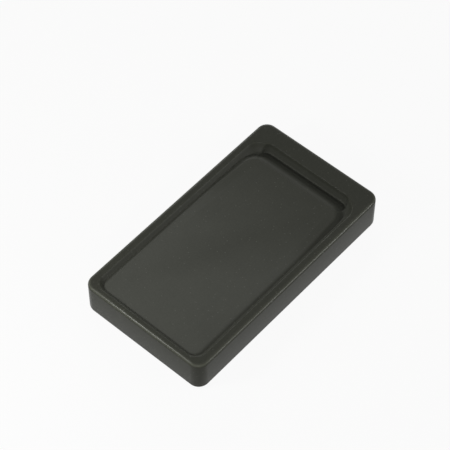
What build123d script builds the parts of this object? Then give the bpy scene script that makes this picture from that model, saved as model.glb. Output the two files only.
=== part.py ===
from build123d import *
import os

# Ink stone: one block of slate, carved with a rim, a hill for grinding, a moat round the hill and a well.
# Lengths are in millimetres, X across the stone, Y along it and Z up. The stone lies on Z = 0, centred on
# the Z axis, with the well at its +Y end, the head. Slopes are in degrees from upright.

# Block, with its edges rubbed round
stone_length = 135.0
stone_width = 75.0
stone_thickness = 20.0
plan_corner_radius = 6.0
top_edge_radius = 2.0
base_edge_radius = 2.5

# Basin: the shallow hollow inside the rim, as its mouth is on the stone's top face
side_rim = 4.3
foot_rim = 3.3
basin_head_margin = 11.6
basin_foot_corner_radius = 6.5
basin_head_corner_radius = 8.5
basin_wall_slope = 36.0
rim_edge_radius = 0.9

# Moat: the basin's floor round the hill. It is level at the foot and falls towards the head, so that the
# ink runs into the well.
moat_depth = 2.4
channel_depth = 4.0
fall_start_margin = 55.0
fall_length = 34.0
fall_blend_radius = 60.0
moat_foot_radius = 0.9

# Well: a trench across the head
head_rim = 10.6
well_end_margin = 9.2
well_breadth = 11.0
well_depth = 6.5
well_corner_radius = 5.0
well_wall_slope = 14.0
well_foot_radius = 1.0
well_edge_radius = 0.4

# Hill: the flat that the ink stick is rubbed on, a little below the rim, with a soft edge
hill_depth = 1.8
hill_side_margin = 7.7
hill_foot_margin = 5.6
hill_head_margin = 19.6
hill_head_narrowing = 1.5
hill_foot_corner_radius = 4.0
hill_head_corner_radius = 7.0
hill_edge_radius = 2.8
hill_slope = 45.0

# How far a cutting shape runs past the stone or past another shape
overrun = 1.0

# Places that follow from these sizes
half_length = stone_length / 2
half_width = stone_width / 2
basin_width = stone_width - 2 * side_rim
basin_length = stone_length - foot_rim - basin_head_margin
basin_middle = (foot_rim - basin_head_margin) / 2
well_length = stone_width - 2 * well_end_margin
well_middle = half_length - head_rim - well_breadth / 2
moat_floor = stone_thickness - moat_depth
channel_floor = stone_thickness - channel_depth
ground_base = stone_thickness - channel_depth - 2 * overrun
fall_start = half_length - fall_start_margin
hill_side = half_width - hill_side_margin
hill_foot = hill_foot_margin - half_length
hill_head = half_length - hill_head_margin
hill_head_side = hill_side - hill_head_narrowing


# Ground that the moat's floor lies on, as a section along the stone
with BuildPart() as ground:
    with BuildSketch(Plane.YZ.offset(-half_width)):
        with BuildLine():
            FilletPolyline(
                (-half_length, moat_floor),
                (fall_start, moat_floor),
                (fall_start + fall_length, channel_floor),
                (half_length, channel_floor),
                radius=fall_blend_radius,
            )
            Polyline(
                (half_length, channel_floor),
                (half_length, ground_base),
                (-half_length, ground_base),
                (-half_length, moat_floor),
            )
        make_face()
    extrude(amount=stone_width)

# Basin, down to the ground, with its foot rounded and its mouth flared for the rim's edge
with BuildPart() as basin:
    with BuildSketch(Plane.XY.offset(stone_thickness)) as basin_plan:
        with Locations((0, basin_middle)):
            Rectangle(basin_width, basin_length)
        fillet(basin_plan.vertices().group_by(Axis.Y)[0], basin_foot_corner_radius)
        fillet(basin_plan.vertices().group_by(Axis.Y)[-1], basin_head_corner_radius)
    extrude(amount=-channel_depth - overrun, taper=basin_wall_slope)
    add(ground.part, mode=Mode.SUBTRACT)
    foot_wall = basin.faces().sort_by(Axis.Y)[0]
    fillet(foot_wall.edges().sort_by(Axis.Z)[0], moat_foot_radius)
    with BuildSketch(Plane.XY.offset(stone_thickness)):
        Rectangle(stone_width, stone_length)
    extrude(amount=overrun)
    mouth = basin.faces().filter_by(lambda face: face.inner_wires())[0].inner_wires()[0]
    fillet(mouth.edges(), rim_edge_radius)

# Well, with its foot rounded and its mouth flared in the same way
with BuildPart() as well:
    with BuildSketch(Plane.XY.offset(stone_thickness)):
        with Locations((0, well_middle)):
            RectangleRounded(well_length, well_breadth, well_corner_radius)
    extrude(amount=-well_depth, taper=well_wall_slope)
    fillet(well.faces().sort_by(Axis.Z)[0].edges(), well_foot_radius)
    with BuildSketch(Plane.XY.offset(stone_thickness)):
        Rectangle(stone_width, stone_length)
    extrude(amount=overrun)
    mouth = well.faces().filter_by(lambda face: face.inner_wires())[0].inner_wires()[0]
    fillet(mouth.edges(), well_edge_radius)

# Hill, which narrows a little towards the well; its sides spread downwards
with BuildPart() as hill:
    with BuildSketch(Plane.XY.offset(stone_thickness - hill_depth)) as hill_plan:
        with BuildLine():
            Polyline(
                (-hill_side, hill_foot),
                (hill_side, hill_foot),
                (hill_side, fall_start),
                (hill_head_side, hill_head),
                (-hill_head_side, hill_head),
                (-hill_side, fall_start),
                (-hill_side, hill_foot),
            )
        make_face()
        fillet(hill_plan.vertices().group_by(Axis.Y)[1], fall_blend_radius)
        fillet(hill_plan.vertices().group_by(Axis.Y)[0], hill_foot_corner_radius)
        fillet(hill_plan.vertices().group_by(Axis.Y)[-1], hill_head_corner_radius)
    extrude(amount=hill_depth - well_depth - overrun, taper=-hill_slope)
    fillet(hill.faces().sort_by(Axis.Z)[-1].edges(), hill_edge_radius)

# Hollow: all that is carved out of the block
with BuildPart() as hollow:
    add(basin.part)
    add(well.part)
    add(hill.part, mode=Mode.SUBTRACT)

with BuildPart() as stone:
    with BuildSketch():
        RectangleRounded(stone_width, stone_length, plan_corner_radius)
    extrude(amount=stone_thickness)
    fillet(stone.faces().sort_by(Axis.Z)[-1].edges(), top_edge_radius)
    fillet(stone.faces().sort_by(Axis.Z)[0].edges(), base_edge_radius)
    add(hollow.part, mode=Mode.SUBTRACT)

stone.part.label = "stone"
os.makedirs("parts", exist_ok=True)
export_step(stone.part, "parts/stone.step")
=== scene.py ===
from math import cos, hypot, pi, radians, sin, sqrt, tan

import bmesh
import bpy
from mathutils import Matrix, Vector


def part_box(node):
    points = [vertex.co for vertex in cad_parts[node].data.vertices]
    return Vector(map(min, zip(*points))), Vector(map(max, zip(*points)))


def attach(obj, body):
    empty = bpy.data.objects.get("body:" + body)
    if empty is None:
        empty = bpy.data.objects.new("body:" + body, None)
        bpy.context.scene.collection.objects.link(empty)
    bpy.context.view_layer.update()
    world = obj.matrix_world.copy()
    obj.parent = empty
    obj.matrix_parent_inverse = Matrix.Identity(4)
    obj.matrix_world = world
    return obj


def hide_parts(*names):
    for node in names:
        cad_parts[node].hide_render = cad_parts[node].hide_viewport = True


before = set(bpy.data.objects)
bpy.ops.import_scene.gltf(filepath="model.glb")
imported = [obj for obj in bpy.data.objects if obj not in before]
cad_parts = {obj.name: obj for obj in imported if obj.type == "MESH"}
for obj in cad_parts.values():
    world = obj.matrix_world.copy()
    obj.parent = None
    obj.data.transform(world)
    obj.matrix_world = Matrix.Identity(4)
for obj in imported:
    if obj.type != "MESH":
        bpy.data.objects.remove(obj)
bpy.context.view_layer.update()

MM = 0.001

# The block comes from the frame. What is carved into it is measured from its faces, as in the part. Slopes are
# measured from level.
low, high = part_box("stone")
plan_corner_radius = 6.0 * MM
top_edge_radius = 2.0 * MM
base_edge_radius = 2.5 * MM

side_rim = 4.3 * MM
foot_rim = 3.3 * MM
basin_head_margin = 11.6 * MM
basin_foot_corner_radius = 6.5 * MM
basin_head_corner_radius = 8.5 * MM
basin_wall_slope = radians(54)
rim_edge_radius = 0.9 * MM

moat_depth = 2.4 * MM
channel_depth = 4.0 * MM
fall_start = high.y - 55.0 * MM
fall_end = high.y - 21.0 * MM

head_rim = 10.6 * MM
well_end_margin = 9.2 * MM
well_foot_margin = 21.6 * MM
well_depth = 6.5 * MM
well_corner_radius = 5.0 * MM
well_wall_slope = radians(76)
well_edge_radius = 0.4 * MM

hill_depth = 1.8 * MM
hill_side_margin = 7.7 * MM
hill_foot_margin = 5.6 * MM
hill_head_margin = 19.6 * MM
hill_head_narrowing = 1.5 * MM
hill_foot_corner_radius = 4.0 * MM
hill_head_corner_radius = 7.0 * MM
hill_edge_radius = 2.8 * MM
hill_head_edge_radius = 5.0 * MM
hill_side_slope = radians(24)
hill_head_slope = radians(29)

# The length over which the hill's edge turns from its side shape to its head shape
head_turn = 6.0 * MM

# How softly one carved surface runs into the next
moat_foot_blend = 0.6 * MM
hill_foot_blend = 0.4 * MM
trench_foot_blend = 1.6 * MM
well_foot_blend = 1.8 * MM
well_edge_blend = 1.2 * MM

# How finely the stone is drawn. A track down the carving is sampled first, and then stepped so that a bend
# counts as extra length. The last two lengths are the distance within which two places are one, and the least
# that the middles of two faces are taken to be apart.
corner_segments = 24
side_cuts = 64
end_cuts = 34
top_edge_segments = 10
base_edge_segments = 8
track_samples = 260
carving_steps = 52
bend_weight = 1.2 * MM
same_place = 0.0001 * MM
least_spacing = 0.05 * MM

# How far the rings that guide the mesh keep clear of the rounded edges beside them, how much rounder the ring
# round the mouth is at the head than the basin, and how far the innermost ring lies inside the hill's
rim_inset = top_edge_radius + 0.3 * MM
mouth_clearance = 0.1 * MM
hill_clearance = 0.8 * MM
mouth_head_rounding = 1.5 * MM
middle_inset = 0.6 * MM

# The edges are made pale along the crest of their rounding, and the outer edge of the top most of all: partly
# wear from handling, and partly a painted highlight. An edge that is rounded to the wear radius or less is
# fully pale, and a softer one is less so.
wear_and_highlight_radius = 2.0 * MM
sheltered_wear_and_highlight = 0.2
wear_and_highlight_paleness = 1.5
wear_polish = 0.3

# Slate: near black with a green cast. The hill is ground flat and left bare, so it is paler and duller; its
# paleness falls off towards the well as painted shade. The rim, walls and outside are honed and waxed,
# so they are darker, with a soft sheen.
waxed_slate = "#2F302A"
ground_slate = "#3E3F3A"
waxed_roughness = 0.3
bare_roughness = 0.5
roughness_change = 0.07
stone_ior = 1.5
stone_specular = 0.07

# The slate's patterns, each with its size along X, Y and Z, its noise detail and its change of shade. They are
# the grain, the marks of the honing along the stone, clouds, and the bedding. Real grain is finer, and it is
# drawn about as coarse as the picture needs to show it.
slate_patterns = (
    ((0.9 * MM, 0.9 * MM, 0.9 * MM), 3.0, 0.05),
    ((0.6 * MM, 22 * MM, 0.6 * MM), 2.0, 0.015),
    ((15 * MM, 15 * MM, 15 * MM), 3.0, 0.03),
    ((30 * MM, 30 * MM, 0.8 * MM), 2.0, 0.02),
)
noise_low, noise_high = 0.3, 0.7
relief = 0.005 * MM

# Flecks of mica: their spacing, their radius as a share of it, and how far they cover the slate
mica = "#8A8B84"
fleck_spacing = 2.4 * MM
fleck_radius = 0.14
fleck_share = 0.12

# How wide the bare ground's border is, how deep the walls are waxed, how pale the moat and well are painted
# below that as painted light, how deep the hollow is where it is fully dull, and where the hill's paleness
# starts to fall off towards the well as painted shade, over what length and down to what share
ground_blend = 1.5 * MM
wall_wax = 1.4 * MM
painted_hollow_light_share = 0.4
hollow_blend = 0.8 * MM
painted_shade_start = -5 * MM
painted_shade_length = 42 * MM
painted_shade_share = 0.2

# The sweep under the stone, and the studio round it
paper = "#C8C8C6"
lit_paper = "#FDFDFD"
studio_light = "#FFFFFF"
sweep_share = 0.95
sweep_size = 3.0
studio_dim = 0.22
studio_white = 0.9


def linear(code):
    """an sRGB hex colour as the linear values that the shader takes"""
    parts = [int(code[i:i + 2], 16) / 255 for i in (1, 3, 5)]
    return [c / 12.92 if c <= 0.04045 else ((c + 0.055) / 1.055) ** 2.4 for c in parts] + [1.0]


def node(tree, kind, inputs=None, **settings):
    """one node with its settings; each input, by its name or number, takes a value or another node's output"""
    made = tree.nodes.new(kind)
    for name, value in settings.items():
        setattr(made, name, value)
    for name, value in (inputs or {}).items():
        if isinstance(value, bpy.types.NodeSocket):
            tree.links.new(value, made.inputs[name])
        else:
            made.inputs[name].default_value = value
    return made


def new_material(name):
    material = bpy.data.materials.new(name)
    material.use_nodes = True
    material.node_tree.nodes.clear()
    return material, material.node_tree


def new_object(name, data):
    made = bpy.data.objects.new(name, data)
    bpy.context.scene.collection.objects.link(made)
    return made


def mesh_object(name, bm, material):
    mesh = bpy.data.meshes.new(name)
    bm.to_mesh(mesh)
    bm.free()
    mesh.materials.append(material)
    return new_object(name, mesh)


# The carving: how deep the stone's surface lies under the rim at any place

def inside(x, y, side, foot, head, foot_radius, head_radius):
    """how far a place lies inside a rounded outline that is inset from the block's faces; outside it is < 0"""
    near, far = low.y + foot, high.y - head
    radius = foot_radius if y < (near + far) / 2 else head_radius
    over_x = abs(x) - (high.x - side) + radius
    over_y = abs(y - (near + far) / 2) - (far - near) / 2 + radius
    return radius - hypot(max(over_x, 0), max(over_y, 0)) - min(max(over_x, over_y), 0)


def inside_hill(x, y):
    narrowing = hill_head_narrowing * ease((y - fall_start) / (high.y - hill_head_margin - fall_start))
    return inside(x, y, hill_side_margin + narrowing, hill_foot_margin, hill_head_margin,
                  hill_foot_corner_radius, hill_head_corner_radius)


def ease(share):
    """0 to 1 as the share goes from 0 to 1, with a level start and end"""
    share = min(max(share, 0.0), 1.0)
    return share * share * (3 - 2 * share)


def soft_least(a, b, blend):
    """the lesser of two depths, rounded where they are within the blend of each other"""
    gap = max(blend - abs(a - b), 0.0) / blend
    return min(a, b) - gap * gap * blend / 4


def edge_reach(radius, slope):
    """how far an edge's rounding starts before the corner that it takes off"""
    return radius * tan(slope / 2)


def drop(distance, radius, slope):
    """how far a surface has dropped this far past its edge, which is rounded and then goes down straight"""
    past = distance + edge_reach(radius, slope)
    if past <= 0:
        return 0.0
    if past < radius * sin(slope):
        return radius - sqrt(radius * radius - past * past)
    return radius * (1 - cos(slope)) + (past - radius * sin(slope)) * tan(slope)


def depth(x, y):
    """how deep the surface lies under the rim; the basin and the well run softly into each other below it"""
    from_mouth = inside(x, y, side_rim, foot_rim, basin_head_margin, basin_foot_corner_radius,
                        basin_head_corner_radius)
    wall = drop(from_mouth, rim_edge_radius, basin_wall_slope)
    moat = moat_depth + (channel_depth - moat_depth) * ease((y - fall_start) / (fall_end - fall_start))
    at_head = ease((y - fall_end) / head_turn + 1)
    radius = hill_edge_radius + (hill_head_edge_radius - hill_edge_radius) * at_head
    slope = hill_side_slope + (hill_head_slope - hill_side_slope) * at_head
    hill = hill_depth + drop(-inside_hill(x, y), radius, slope)
    basin = soft_least(soft_least(wall, moat, moat_foot_blend), hill, hill_foot_blend)
    well_foot = high.y - low.y - well_foot_margin
    from_well = inside(x, y, well_end_margin, well_foot, head_rim, well_corner_radius, well_corner_radius)
    well_wall = drop(from_well, well_edge_radius, well_wall_slope)
    well = soft_least(soft_least(well_wall, well_depth, well_foot_blend), hill, trench_foot_blend)
    blend = min(min(basin, well) * 2, well_edge_blend)
    return -soft_least(-basin, -well, blend) if blend > 0 else max(basin, well, 0.0)


# The stone: rings drawn one inside the other, from the base edge up over the rim and down the carving

def contour(bm, margins, foot_radius, head_radius):
    """a closed ring of edges, inset from the block's faces at the side, foot and head, with rounded corners"""
    before = set(bm.edges)
    side, foot, head = margins
    left, right, near, far = low.x + side, high.x - side, low.y + foot, high.y - head
    corners = [bm.verts.new((x, y, low.z)) for x, y in ((left, near), (right, near), (right, far), (left, far))]
    for corner, following in zip(corners, corners[1:] + corners[:1]):
        bm.edges.new((corner, following))
    for radius, end in ((foot_radius, near), (head_radius, far)):
        sharp = {v for e in bm.edges if e not in before for v in e.verts if abs(v.co.y - end) < same_place}
        bmesh.ops.bevel(bm, geom=list(sharp), offset=radius, affect="VERTICES", segments=corner_segments,
                        profile=0.5, material=-1)
    for cuts, across in ((side_cuts, 0), (end_cuts, 1)):
        sides = [e for e in bm.edges if e not in before and e.calc_length() > plan_corner_radius]
        straight = [e for e in sides if abs(e.verts[0].co[across] - e.verts[1].co[across]) < same_place]
        bmesh.ops.subdivide_edges(bm, edges=straight, cuts=cuts)
    return [e for e in bm.edges if e not in before]


def walk(edges):
    """a ring's vertices in order, from the left end of its foot towards the right"""
    links = {}
    for edge in edges:
        for v in edge.verts:
            links.setdefault(v, []).append(edge.other_vert(v))
    foot = min(v.co.y for v in links)
    first = min((v for v in links if v.co.y < foot + same_place), key=lambda v: v.co.x)
    order = [first, max(links[first], key=lambda v: v.co.x)]
    while len(order) < len(links):
        order.append(next(v for v in links[order[-1]] if v is not order[-2]))
    return order


def guide(bm, margins, foot_radius, head_radius):
    """the places along a ring that only guides the others"""
    edges = contour(bm, margins, foot_radius, head_radius)
    places = [v.co.xy for v in walk(edges)]
    bmesh.ops.delete(bm, geom=list({v for e in edges for v in e.verts}), context="VERTS")
    return places


def guides(bm):
    """the places along the rim, the hollow's mouth, the hill's flat and the innermost ring"""
    mouth = edge_reach(rim_edge_radius, basin_wall_slope) + mouth_clearance
    well_mouth = edge_reach(well_edge_radius, well_wall_slope) + mouth_clearance
    flat = edge_reach(hill_head_edge_radius, hill_head_slope) + hill_clearance
    rim_radius = plan_corner_radius - rim_inset
    rings = [
        guide(bm, (rim_inset, rim_inset, rim_inset), rim_radius, rim_radius),
        guide(bm, (side_rim - mouth, foot_rim - mouth, head_rim - well_mouth),
              basin_foot_corner_radius + mouth, basin_head_corner_radius + mouth_head_rounding),
    ]
    for inset in (flat, flat + middle_inset):
        margins = [margin + inset for margin in
                   (hill_side_margin + hill_head_narrowing, hill_foot_margin, hill_head_margin)]
        rings.append(guide(bm, margins, hill_foot_corner_radius - inset, hill_head_corner_radius - inset))
    return rings


def carved_track(start, end):
    """the places down the carving from start to end, closer together where the surface bends"""
    spots = [start.lerp(end, i / track_samples) for i in range(track_samples + 1)]
    places = [Vector((spot.x, spot.y, high.z - depth(spot.x, spot.y))) for spot in spots]
    runs = [after - before for before, after in zip(places, places[1:])]
    travelled = [0.0]
    for i, run in enumerate(runs):
        travelled.append(travelled[-1] + run.length + bend_weight * run.angle(runs[max(i - 1, 0)], 0.0))
    track, i = [], 0
    for step in range(1, carving_steps):
        goal = travelled[-1] * step / carving_steps
        while travelled[i + 1] < goal:
            i += 1
        share = (goal - travelled[i]) / (travelled[i + 1] - travelled[i])
        track.append(places[i].lerp(places[i + 1], share))
    return track + [places[-1]]


def tightness(edge):
    """one over the radius that the surface bends round at this edge; inside a hollow it is 0"""
    middles = [face.calc_center_median() for face in edge.link_faces]
    spacing = max((middles[0] - middles[1]).length, least_spacing)
    return max(edge.calc_face_angle_signed(0.0), 0.0) / spacing


def mark_finish(bm):
    """what each place's finish is: how bare its ground is, with painted light in the moat and well and painted
    shade on the hill towards the well, how deep in the hollow it lies, and how worn it is, with a painted
    highlight along each edge's crest
    """
    ground_and_painted_light, hollow, wear_and_highlight = [bm.verts.layers.float.new(name) for name in ("ground_and_painted_light", "hollow", "wear_and_highlight")]
    for v in bm.verts:
        x, y, z = v.co
        on_top = z > high.z / 2
        # The hill's paleness is cut towards the well: painted shade, darker towards the head.
        painted_shade_falloff = 1 - (1 - painted_shade_share) * ease((y - painted_shade_start) / painted_shade_length)
        bare_hill_with_painted_shade = ease(inside_hill(x, y) / ground_blend + 1.0) * painted_shade_falloff
        # The moat and well floor below the waxed walls are made paler: painted light in the hollow.
        painted_hollow_light = ease((depth(x, y) - wall_wax) / ground_blend) * painted_hollow_light_share
        v[ground_and_painted_light] = on_top * max(bare_hill_with_painted_shade, painted_hollow_light)
        v[hollow] = on_top * ease(depth(x, y) / hollow_blend)
        # Edges are made pale on the crest of their rounding: partly wear, partly a painted highlight.
        crest = 1 - abs(2 * v.normal.z ** 2 - 1)
        v[wear_and_highlight] = crest * min(max(tightness(edge) for edge in v.link_edges) * wear_and_highlight_radius, 1.0)
        if not on_top or inside(x, y, 0, 0, 0, plan_corner_radius, plan_corner_radius) > rim_inset:
            v[wear_and_highlight] *= sheltered_wear_and_highlight


def carved_stone():
    bm = bmesh.new()
    rings = guides(bm)
    base_edges = contour(bm, (0, 0, 0), plan_corner_radius, plan_corner_radius)
    tracks = {}
    for base, rim, mouth, flat, middle in zip(walk(base_edges), *rings):
        level = [Vector((*spot, high.z)) for spot in (base.co.xy, rim, mouth)]
        tracks[base] = level + carved_track(mouth, flat) + [Vector((*middle, high.z - hill_depth))]
    bmesh.ops.contextual_create(bm, geom=base_edges)
    ring = base_edges
    for step in range(min(len(track) for track in tracks.values())):
        made = bmesh.ops.extrude_edge_only(bm, edges=ring)["geom"]
        fresh = {v for v in made if isinstance(v, bmesh.types.BMVert)}
        ring = [e for e in made if isinstance(e, bmesh.types.BMEdge) and fresh.issuperset(e.verts)]
        tracks = {v: next(tracks[e.other_vert(v)] for e in v.link_edges if e.other_vert(v) in tracks)
                  for v in fresh}
        for v, track in tracks.items():
            v.co = track[step]
        if step == 0:
            top_edges = ring
    bmesh.ops.contextual_create(bm, geom=ring)
    for edges, radius, segments in ((base_edges, base_edge_radius, base_edge_segments),
                                    (top_edges, top_edge_radius, top_edge_segments)):
        bmesh.ops.bevel(bm, geom=[e for e in edges if e.is_valid], offset=radius, affect="EDGES",
                        segments=segments, profile=0.5, material=-1)
    bmesh.ops.recalc_face_normals(bm, faces=bm.faces)
    bm.normal_update()
    mark_finish(bm)
    for face in bm.faces:
        face.smooth = True
    made = mesh_object("carved_stone", bm, slate())
    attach(made, "root")
    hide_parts("stone")


def slate():
    """honed slate, paler where it is ground, in the painted light of the moat and well, and on edges that are
    worn and carry a painted highlight; darker in painted shade towards the well, duller in the hollow, with its
    patterns and flecks
    """
    material, tree = new_material("honed_slate")
    place = node(tree, "ShaderNodeTexCoord").outputs["Object"]
    ground_and_painted_light, hollow, wear_and_highlight = [node(tree, "ShaderNodeAttribute", attribute_name=name).outputs["Fac"]
                            for name in ("ground_and_painted_light", "hollow", "wear_and_highlight")]

    # Worn edges are made paler: partly wear, partly a painted highlight along their crest.
    paler = node(tree, "ShaderNodeMath", {0: wear_and_highlight, 1: wear_and_highlight_paleness, 2: 1.0}, operation="MULTIPLY_ADD")
    shade = paler.outputs[0]
    patterns = []
    for size, detail, change in slate_patterns:
        spread = node(tree, "ShaderNodeVectorMath", {0: place, 1: [1 / length for length in size]},
                      operation="MULTIPLY")
        pattern = node(tree, "ShaderNodeTexNoise", {
            "Vector": spread.outputs[0], "Scale": 1.0, "Detail": detail})
        swing = node(tree, "ShaderNodeMapRange", {
            "Value": pattern.outputs["Fac"], "From Min": noise_low, "From Max": noise_high,
            "To Min": 1 - change, "To Max": 1 + change})
        shade = node(tree, "ShaderNodeMath", {0: shade, 1: swing.outputs[0]}, operation="MULTIPLY").outputs[0]
        patterns.append(pattern.outputs["Fac"])
    grain, honing = patterns[:2]

    # The mix follows the ground mask, which also holds the painted light of the moat and well and the painted
    # shade towards the well.
    stone = node(tree, "ShaderNodeMix", {"Factor": ground_and_painted_light, 6: linear(waxed_slate), 7: linear(ground_slate)},
                 data_type="RGBA")
    shaded = node(tree, "ShaderNodeVectorMath", {0: stone.outputs[2], "Scale": shade}, operation="SCALE")
    flecks = node(tree, "ShaderNodeTexVoronoi", {"Vector": place, "Scale": 1 / fleck_spacing})
    glint = node(tree, "ShaderNodeMapRange", {
        "Value": flecks.outputs["Distance"], "From Min": fleck_radius / 2, "From Max": fleck_radius,
        "To Min": fleck_share, "To Max": 0.0})
    colour = node(tree, "ShaderNodeMix", {
        "Factor": glint.outputs["Result"], 6: shaded.outputs[0], 7: linear(mica)}, data_type="RGBA")

    finish = node(tree, "ShaderNodeMix", {"Factor": hollow, 2: waxed_roughness, 3: bare_roughness},
                  data_type="FLOAT")
    uneven = node(tree, "ShaderNodeMapRange", {
        "Value": grain, "From Min": noise_low, "From Max": noise_high,
        "To Min": 1 - roughness_change, "To Max": 1 + roughness_change})
    polished = node(tree, "ShaderNodeMath", {0: wear_and_highlight, 1: -wear_polish, 2: 1.0}, operation="MULTIPLY_ADD")
    dulled = node(tree, "ShaderNodeMath", {0: polished.outputs[0], 1: uneven.outputs[0]}, operation="MULTIPLY")
    rough = node(tree, "ShaderNodeMath", {0: finish.outputs[0], 1: dulled.outputs[0]}, operation="MULTIPLY")

    height = node(tree, "ShaderNodeMath", {0: honing, 1: ground_and_painted_light, 2: grain}, operation="MULTIPLY_ADD")
    bump = node(tree, "ShaderNodeBump", {"Strength": 1.0, "Distance": relief, "Height": height.outputs[0]})
    surface = node(tree, "ShaderNodeBsdfPrincipled", {
        "Base Color": colour.outputs[2], "Roughness": rough.outputs[0], "Normal": bump.outputs[0],
        "IOR": stone_ior, "Specular IOR Level": stone_specular})
    node(tree, "ShaderNodeOutputMaterial", {"Surface": surface.outputs[0]})
    return material


def seen_as_background(tree):
    """1 for the rays that should see a white background: the camera's, mirrored and passed on ones"""
    rays = node(tree, "ShaderNodeLightPath").outputs
    mirrored = node(tree, "ShaderNodeMath", {0: rays["Is Glossy Ray"], 1: rays["Is Transmission Ray"]},
                    operation="MAXIMUM")
    return node(tree, "ShaderNodeMath", {0: rays["Is Camera Ray"], 1: mirrored.outputs[0]},
                operation="MAXIMUM").outputs[0]


def sweep_material():
    """white paper that still takes the stone's shadow"""
    material, tree = new_material("white_paper_sweep")
    share = node(tree, "ShaderNodeMath", {0: seen_as_background(tree), 1: sweep_share}, operation="MULTIPLY")
    matt = node(tree, "ShaderNodeBsdfDiffuse", {"Color": linear(paper)})
    lit = node(tree, "ShaderNodeEmission", {"Color": linear(lit_paper)})
    mix = node(tree, "ShaderNodeMixShader", {0: share.outputs[0], 1: matt.outputs[0], 2: lit.outputs[0]})
    node(tree, "ShaderNodeOutputMaterial", {"Surface": mix.outputs[0]})
    return material


def sweep():
    bm = bmesh.new()
    bmesh.ops.create_grid(bm, x_segments=1, y_segments=1, size=sweep_size)
    mesh_object("sweep", bm, sweep_material())


def studio():
    """a dim room that is seen white, also in a reflection"""
    made = bpy.data.worlds.new("studio")
    bpy.context.scene.world = made
    made.use_nodes = True
    tree = made.node_tree
    tree.nodes.clear()
    dim, bright = [node(tree, "ShaderNodeBackground", {"Color": linear(studio_light), "Strength": strength})
                   for strength in (studio_dim, studio_white)]
    mix = node(tree, "ShaderNodeMixShader", {
        0: seen_as_background(tree), 1: dim.outputs[0], 2: bright.outputs[0]})
    node(tree, "ShaderNodeOutputWorld", {"Surface": mix.outputs[0]})


def softbox(name, azimuth, elevation, distance, width, height, glow):
    """a rectangular lamp that faces the stone; azimuth is from +Y towards +X"""
    place = distance * Vector((sin(azimuth) * cos(elevation), cos(azimuth) * cos(elevation), sin(elevation)))
    lamp = bpy.data.lights.new(name, "AREA")
    lamp.shape = "RECTANGLE"
    lamp.size, lamp.size_y = width, height
    lamp.energy = pi * width * height * glow
    made = new_object(name, lamp)
    made.location = place
    made.rotation_euler = (-place).to_track_quat("-Z", "Y").to_euler()


def camera():
    """the photograph's view: down on the stone from beyond its foot, to the right"""
    azimuth, elevation = radians(-41.3), radians(53.8)
    away, across, down = 0.9145, 0.0045, 0.0185
    forward = Vector((sin(azimuth) * cos(elevation), cos(azimuth) * cos(elevation), -sin(elevation)))
    right = forward.cross(Vector((0, 0, 1))).normalized()
    below = forward.cross(right)
    lens = bpy.data.cameras.new("camera")
    lens.sensor_width = 36.0
    lens.lens = 147.6
    lens.clip_start = 0.01
    made = new_object("camera", lens)
    place = -away * forward - across * right - down * below
    facing = Matrix((right, -below, -forward)).transposed().to_4x4()
    made.matrix_world = Matrix.Translation(place) @ facing
    bpy.context.scene.camera = made


camera()
studio()
sweep()
softbox("top_softbox", radians(350), radians(70), distance=1.2, width=0.5, height=0.5, glow=1.4)
softbox("front_softbox", radians(203), radians(36), distance=0.34, width=0.045, height=0.08, glow=60.0)
softbox("corner_softbox", radians(140), radians(32), distance=1.2, width=0.16, height=0.16, glow=42.0)
softbox("left_window", radians(315), radians(24), distance=2.4, width=1.7, height=0.65, glow=6.7)
softbox("right_window", radians(61), radians(12), distance=2.4, width=0.6, height=0.8, glow=16.0)
carved_stone()

bpy.context.scene.view_settings.view_transform = "Standard"
